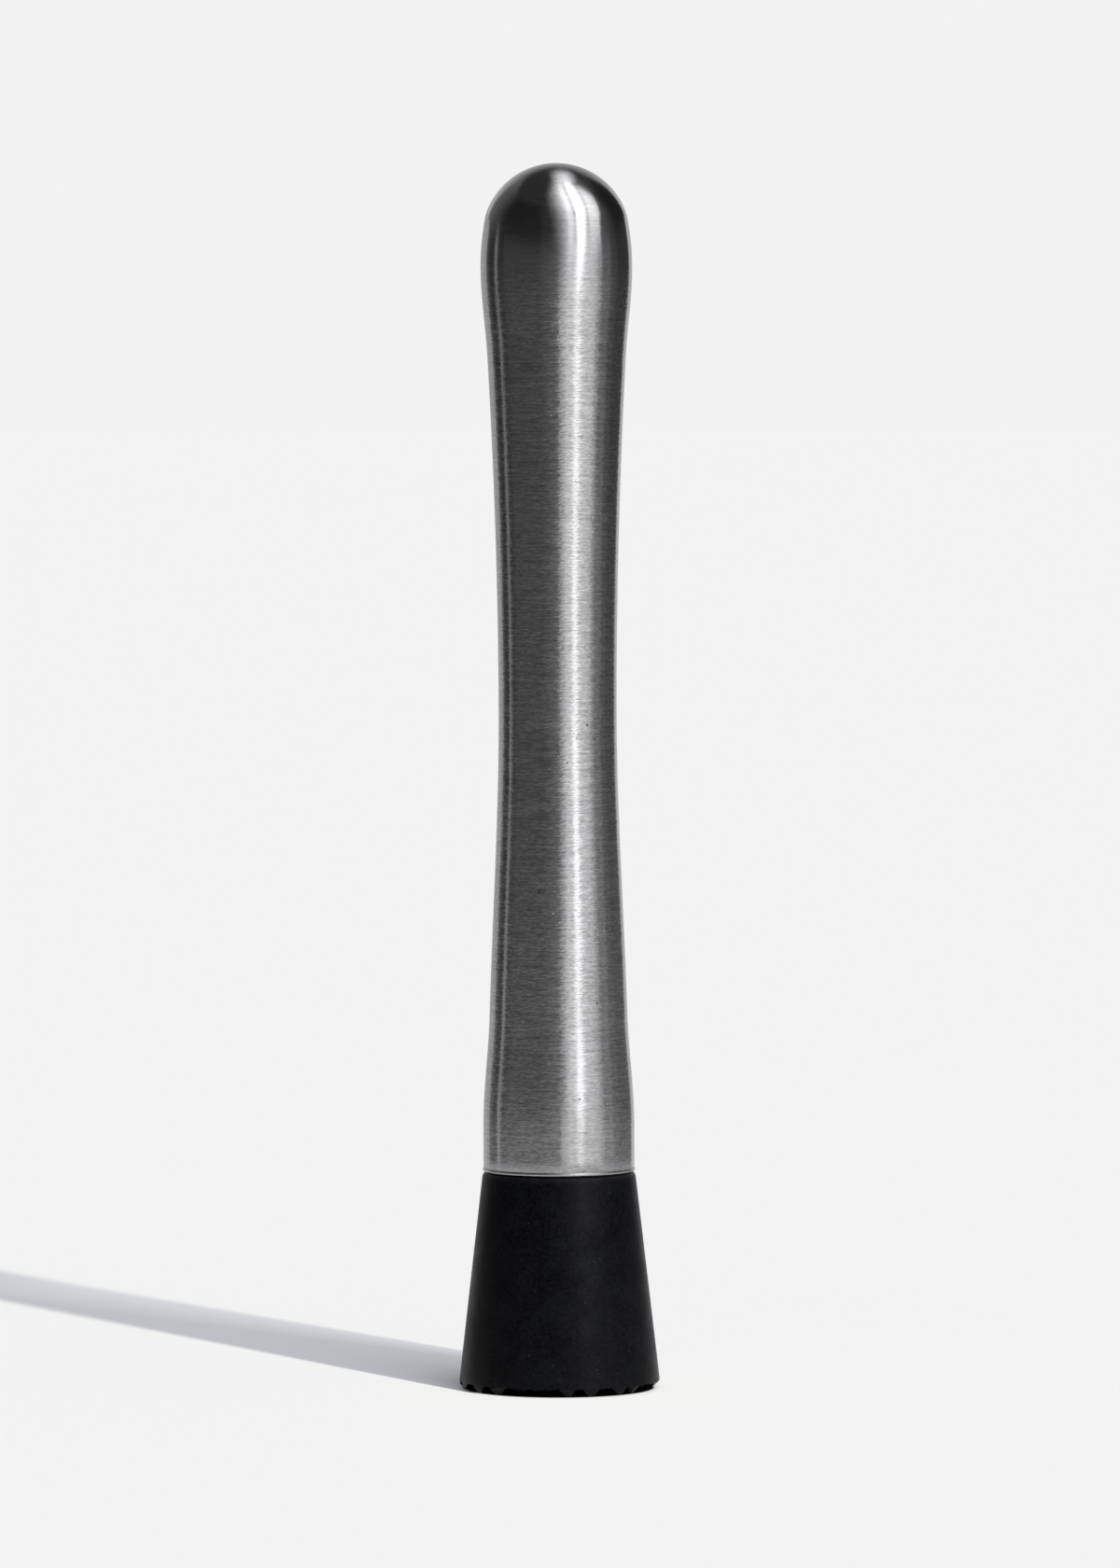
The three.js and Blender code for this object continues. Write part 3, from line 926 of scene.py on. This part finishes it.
def paper():
    """Pale matt paper that keeps the muddler's shadow and is evenly white round it. Painted light makes it
    glow a little where the muddler keeps the room's light off it, and inside the shadow's far edge. Painted
    shade makes it dark under the head, where the lamp's low light would slip between the teeth, and in the
    middle of the shadow near the foot."""
    material, tree, shader, place = new_material("paper_with_painted_shade_and_light")
    reach = from_axis(tree, place)
    contact = (CONTACT_RADIUS - CONTACT_BLUR) * MM, (CONTACT_RADIUS + CONTACT_BLUR) * MM
    open_floor = ramp(tree, reach, *contact, 0, 1)

    # Where the shadow falls: it narrows with the head, then stays as wide as the handle's foot
    behind = towards(tree, place, around(KEY_AZIMUTH + 180))
    side = towards(tree, place, around(KEY_AZIMUTH + 90))
    beside = work(tree, "ABSOLUTE", side)
    narrowing = -head_slope * math.tan(math.radians(KEY_ELEVATION))
    edge = work(tree, "MULTIPLY_ADD", behind, narrowing, HEAD_BASE_RADIUS * MM)
    edge = work(tree, "MAXIMUM", edge, rim_radius * MM)
    penumbra = work(tree, "MULTIPLY", behind, math.tan(math.radians(KEY_ANGLE / 2)))
    beyond = work(tree, "DIVIDE", work(tree, "SUBTRACT", beside, edge), penumbra)
    before = work(tree, "LESS_THAN", behind, 0)
    lit = work(tree, "MAXIMUM", before, ramp(tree, beyond, -1, 1, 0, 1))

    # Its colour, with painted shade under the head and in the middle of the shadow near the foot
    near = work(tree, "DIVIDE", HEAD_BASE_RADIUS * MM, reach)
    off_middle = work(tree, "POWER", work(tree, "DIVIDE", beside, edge), 2)
    shade = ramp(tree, off_middle, 0, 1, CONTACT_SHADE, 0)
    dark = work(tree, "MULTIPLY", work(tree, "POWER", near, CONTACT_POWER), shade)
    pale = blend(tree, lit, work(tree, "SUBTRACT", 1, dark), 1, kind="FLOAT")
    pale = work(tree, "MULTIPLY", pale, open_floor)

    # Its glow: painted light round the foot, and inside the shadow's far edge
    lit_lift = work(tree, "MULTIPLY", work(tree, "POWER", near, FLOOR_LIFT_POWER), FLOOR_LIFT)
    spread = work(tree, "MULTIPLY", behind, SHADOW_SPREAD)
    inward = work(tree, "DIVIDE", work(tree, "SUBTRACT", edge, side), spread)
    fade = ramp(tree, behind, SHADOW_FADE_START, SHADOW_FADE_END, 1, 0)
    shadow_lift = work(tree, "MULTIPLY", ramp(tree, inward, 0, 1, SHADOW_LIFT, 0), fade)
    lift = blend(tree, lit, shadow_lift, lit_lift, kind="FLOAT")
    inputs = {
        "Base Color": blend(tree, pale, linear(CONTACT_SHADOW_COLOUR), linear(FLOOR_COLOUR)),
        "Emission Color": linear(FLOOR_COLOUR),
        "Emission Strength": work(tree, "MULTIPLY", lift, open_floor),
        "Roughness": 1,
        "Specular IOR Level": 0,
    }
    feed(tree, shader, inputs)
    return material


def make_floor():
    """Wide floor of paper."""
    bpy.ops.object.select_all(action="DESELECT")
    bpy.ops.mesh.primitive_plane_add(size=FLOOR_SIZE)
    floor = bpy.context.object
    floor.name = "floor"
    floor.data.materials.append(paper())


def make_world():
    """Pale surroundings, a little cooler and dimmer where they fill the shadows."""
    world = bpy.data.worlds.new("studio")
    bpy.context.scene.world = world
    world.use_nodes = True
    tree = world.node_tree
    tree.nodes.clear()
    path = add(tree, "ShaderNodeLightPath").outputs
    seen = work(tree, "MAXIMUM", path["Is Camera Ray"], path["Is Glossy Ray"])
    seen = work(tree, "MAXIMUM", seen, path["Is Transmission Ray"])
    fill = add(tree, "ShaderNodeBackground", {"Color": FILL_COLOUR, "Strength": FILL_STRENGTH})
    sweep = add(tree, "ShaderNodeBackground", {"Color": linear(PALE), "Strength": 1})
    mixed = add(tree, "ShaderNodeMixShader", {0: seen, 1: fill.outputs[0], 2: sweep.outputs[0]})
    add(tree, "ShaderNodeOutputWorld", {"Surface": mixed.outputs[0]})


def make_key():
    """Low key lamp from the camera's right. What the metal mirrors of it is the softbox."""
    data = bpy.data.lights.new("key", "SUN")
    data.energy = KEY_STRENGTH
    data.angle = math.radians(KEY_ANGLE)
    data.color = KEY_COLOUR
    key = bpy.data.objects.new("key", data)
    bpy.context.scene.collection.objects.link(key)
    towards_key = around(KEY_AZIMUTH) + Vector((0, 0, math.tan(math.radians(KEY_ELEVATION))))
    key.rotation_mode = "QUATERNION"
    key.rotation_quaternion = towards_key.to_track_quat("Z", "Y")
    key.visible_glossy = False


def new_glow(card):
    """Gives a card a glowing material, and shows it only in reflections. Returns its tree and its light."""
    material = bpy.data.materials.new(card.name)
    material.use_nodes = True
    tree = material.node_tree
    tree.nodes.clear()
    light = add(tree, "ShaderNodeEmission", {"Color": linear(STUDIO_WHITE)})
    add(tree, "ShaderNodeOutputMaterial", {"Surface": light.outputs["Emission"]})
    card.data.materials.append(material)
    card.visible_camera = False
    card.visible_diffuse = False
    card.visible_shadow = False
    card.visible_transmission = False
    return tree, light


def flat_card(name, width, extent, sideways, upward, middle):
    """A flat card: its size, the directions of its sides and its middle. Returns its tree and its light."""
    bpy.ops.object.select_all(action="DESELECT")
    bpy.ops.mesh.primitive_plane_add(size=1)
    card = bpy.context.object
    card.name = name
    card.scale = (width, extent, 1)
    bpy.ops.object.transform_apply(location=False, rotation=False, scale=True)
    turned = Matrix((sideways, upward, sideways.cross(upward))).transposed().to_4x4()
    card.matrix_world = Matrix.Translation(middle) @ turned
    return new_glow(card)


def curved_card(name, start, end, distance, height, facets):
    """An upright card between two directions round the muddler. Returns its tree and its light."""
    ends = [around(start) * distance + Vector((0, 0, level)) for level in (0, height)]
    return new_glow(spin_line(name, ends, facets, end - start))


def make_ring_card(name, level, inner, outer, glow):
    """A flat round card over the muddler or on the floor round it."""
    middle = Vector((0, 0, level))
    ends = [middle + around(0) * outer, middle + around(0) * inner]
    tree, light = new_glow(spin_line(name, ends, RING_FACETS, 360))
    feed(tree, light, {"Strength": glow})


def add_haze(tree, place, distance, haze, glow):
    """Adds to a curved card's glow a haze, which is strongest in one direction."""
    azimuth, nearest, haze_glow = haze
    near = ramp(tree, towards(tree, place, around(azimuth) / distance), nearest, 1, 0, 1)
    return work(tree, "MULTIPLY_ADD", work(tree, "POWER", near, HAZE_POWER), haze_glow, glow)


def make_flag(name, start, end, glow, tilt):
    """An upright curved flag between two directions round the muddler, brighter towards the floor."""
    facets = max(1, round((end - start) / FLAG_FACET))
    tree, light = curved_card(name, start, end, FLAG_DISTANCE, FLAG_TOP, facets)
    place = coordinates(tree)
    level = split(tree, place)["Z"]
    if name in FLAG_HAZE:
        glow = add_haze(tree, place, FLAG_DISTANCE, FLAG_HAZE[name], glow)
    gain = ramp(tree, level, FLAG_LOW, FLAG_HIGH, 1 + tilt, 1 - tilt)
    foot_glow = ramp(tree, level, 0, FLAG_FOOT_REACH, FLAG_FOOT_GLOW, 0)
    feed(tree, light, {"Strength": work(tree, "MULTIPLY_ADD", glow, gain, foot_glow)})


def make_room():
    """Dark wall of the room, hazy towards its pale left end and beside the softbox."""
    tree, light = curved_card("room", ROOM_START, ROOM_END, ROOM_DISTANCE, ROOM_TOP, ROOM_FACETS)
    place = coordinates(tree)
    glow = ROOM_GLOW
    for haze in ROOM_HAZE:
        glow = add_haze(tree, place, ROOM_DISTANCE, haze, glow)
    feed(tree, light, {"Strength": glow})


def make_back_wall():
    """Pale wall behind the muddler, which darkens upwards to the ceiling."""
    end = 360 + ROOM_START
    tree, light = curved_card("back_wall", ROOM_END, end, ROOM_DISTANCE, ROOM_TOP, BACK_FACETS)
    level = split(tree, coordinates(tree))["Z"]
    feed(tree, light, {"Strength": ramp(tree, level, BACK_FADE_START, ROOM_TOP, BACK_GLOW, CEILING_GLOW)})


def make_softbox():
    """Leaning softbox with tubes behind its cloth and seams in it: soft at its bowed left edge, fading to its
    right, and brighter towards its top."""
    lean = math.atan(SOFTBOX_LEAN)
    outward = around(SOFTBOX_AZIMUTH)
    sideways = around(SOFTBOX_AZIMUTH + 90)
    upward = Vector((0, 0, math.cos(lean))) - outward * math.sin(lean)
    above_dome = SOFTBOX_TOP / 2 - DOME_LEVEL
    shift = SOFTBOX_WIDTH / 2 - SOFTBOX_MARGIN
    middle = outward * (SOFTBOX_DISTANCE - SOFTBOX_LEAN * above_dome) + sideways * shift
    middle += Vector((0, 0, SOFTBOX_TOP / 2))
    panel_length = SOFTBOX_TOP / math.cos(lean)
    tree, light = flat_card("softbox", SOFTBOX_WIDTH, panel_length, sideways, upward, middle)

    place = split(tree, coordinates(tree))
    across = work(tree, "ADD", place["X"], shift)
    up = work(tree, "MULTIPLY_ADD", place["Y"], math.cos(lean), above_dome)
    from_bow = work(tree, "ABSOLUTE", work(tree, "SUBTRACT", up, HEM_LEVEL))
    from_bow = work(tree, "MINIMUM", from_bow, HEM_REACH)
    from_hem = work(tree, "MULTIPLY_ADD", from_bow, HEM_BOW, across)

    rise = work(tree, "POWER", ramp(tree, from_hem, HEM_START, HEM_END, 0, 1), HEM_POWER)
    rise = work(tree, "MULTIPLY", rise, SOFTBOX_GLOW)
    fall = ramp(tree, across, FALL_START, FALL_END, 1, ramp(tree, up, *FAR_SIDE))
    glow = work(tree, "MULTIPLY", rise, fall)
    for tube in TUBES:
        glow = work(tree, "ADD", glow, hump(tree, from_hem, *tube))
    seam_depth = ramp(tree, up, *SEAM_DEPTH)
    for seam in SEAMS:
        lost = work(tree, "MULTIPLY", hump(tree, from_hem, *seam), seam_depth)
        glow = work(tree, "MULTIPLY", glow, work(tree, "SUBTRACT", 1, lost))
    for change in (TOP_GAIN, TOP_FADE):
        glow = work(tree, "MULTIPLY", glow, ramp(tree, up, *change))
    feed(tree, light, {"Strength": work(tree, "MAXIMUM", glow, SOFTBOX_LEAST)})


def make_top_light():
    """Strip overhead that ends the highlight on top of the dome, soft at its long edges."""
    outward = around(SOFTBOX_AZIMUTH)
    sideways = around(SOFTBOX_AZIMUTH + 90)
    half_length = TOP_LIGHT_LENGTH / 2
    middle = outward * (TOP_LIGHT_START - half_length) + sideways * TOP_LIGHT_SIDE
    middle += Vector((0, 0, TOP_LIGHT_HEIGHT))
    tree, light = flat_card("top_light", TOP_LIGHT_WIDTH, TOP_LIGHT_LENGTH, sideways, -outward, middle)
    place = split(tree, coordinates(tree))
    glow = hump(tree, place["X"], 0, TOP_LIGHT_WIDTH / 2, TOP_LIGHT_GLOW)
    fade = ramp(tree, place["Y"], TOP_LIGHT_EVEN - half_length, half_length, 1, 0)
    glow = work(tree, "MULTIPLY", glow, fade)
    feed(tree, light, {"Strength": work(tree, "MAXIMUM", glow, CEILING_GLOW)})


make_floor()
make_world()
make_key()
make_softbox()
make_top_light()
make_ring_card("ceiling", ROOM_TOP, 0, ROOM_DISTANCE, CEILING_GLOW)
make_ring_card("floor_card", FLOOR_CARD_LEVEL, FLOOR_CARD_START, FLAG_DISTANCE, FLOOR_CARD_GLOW)
make_room()
make_back_wall()
for flag in FLAGS:
    make_flag(*flag)
bpy.context.scene.view_settings.view_transform = "Standard"
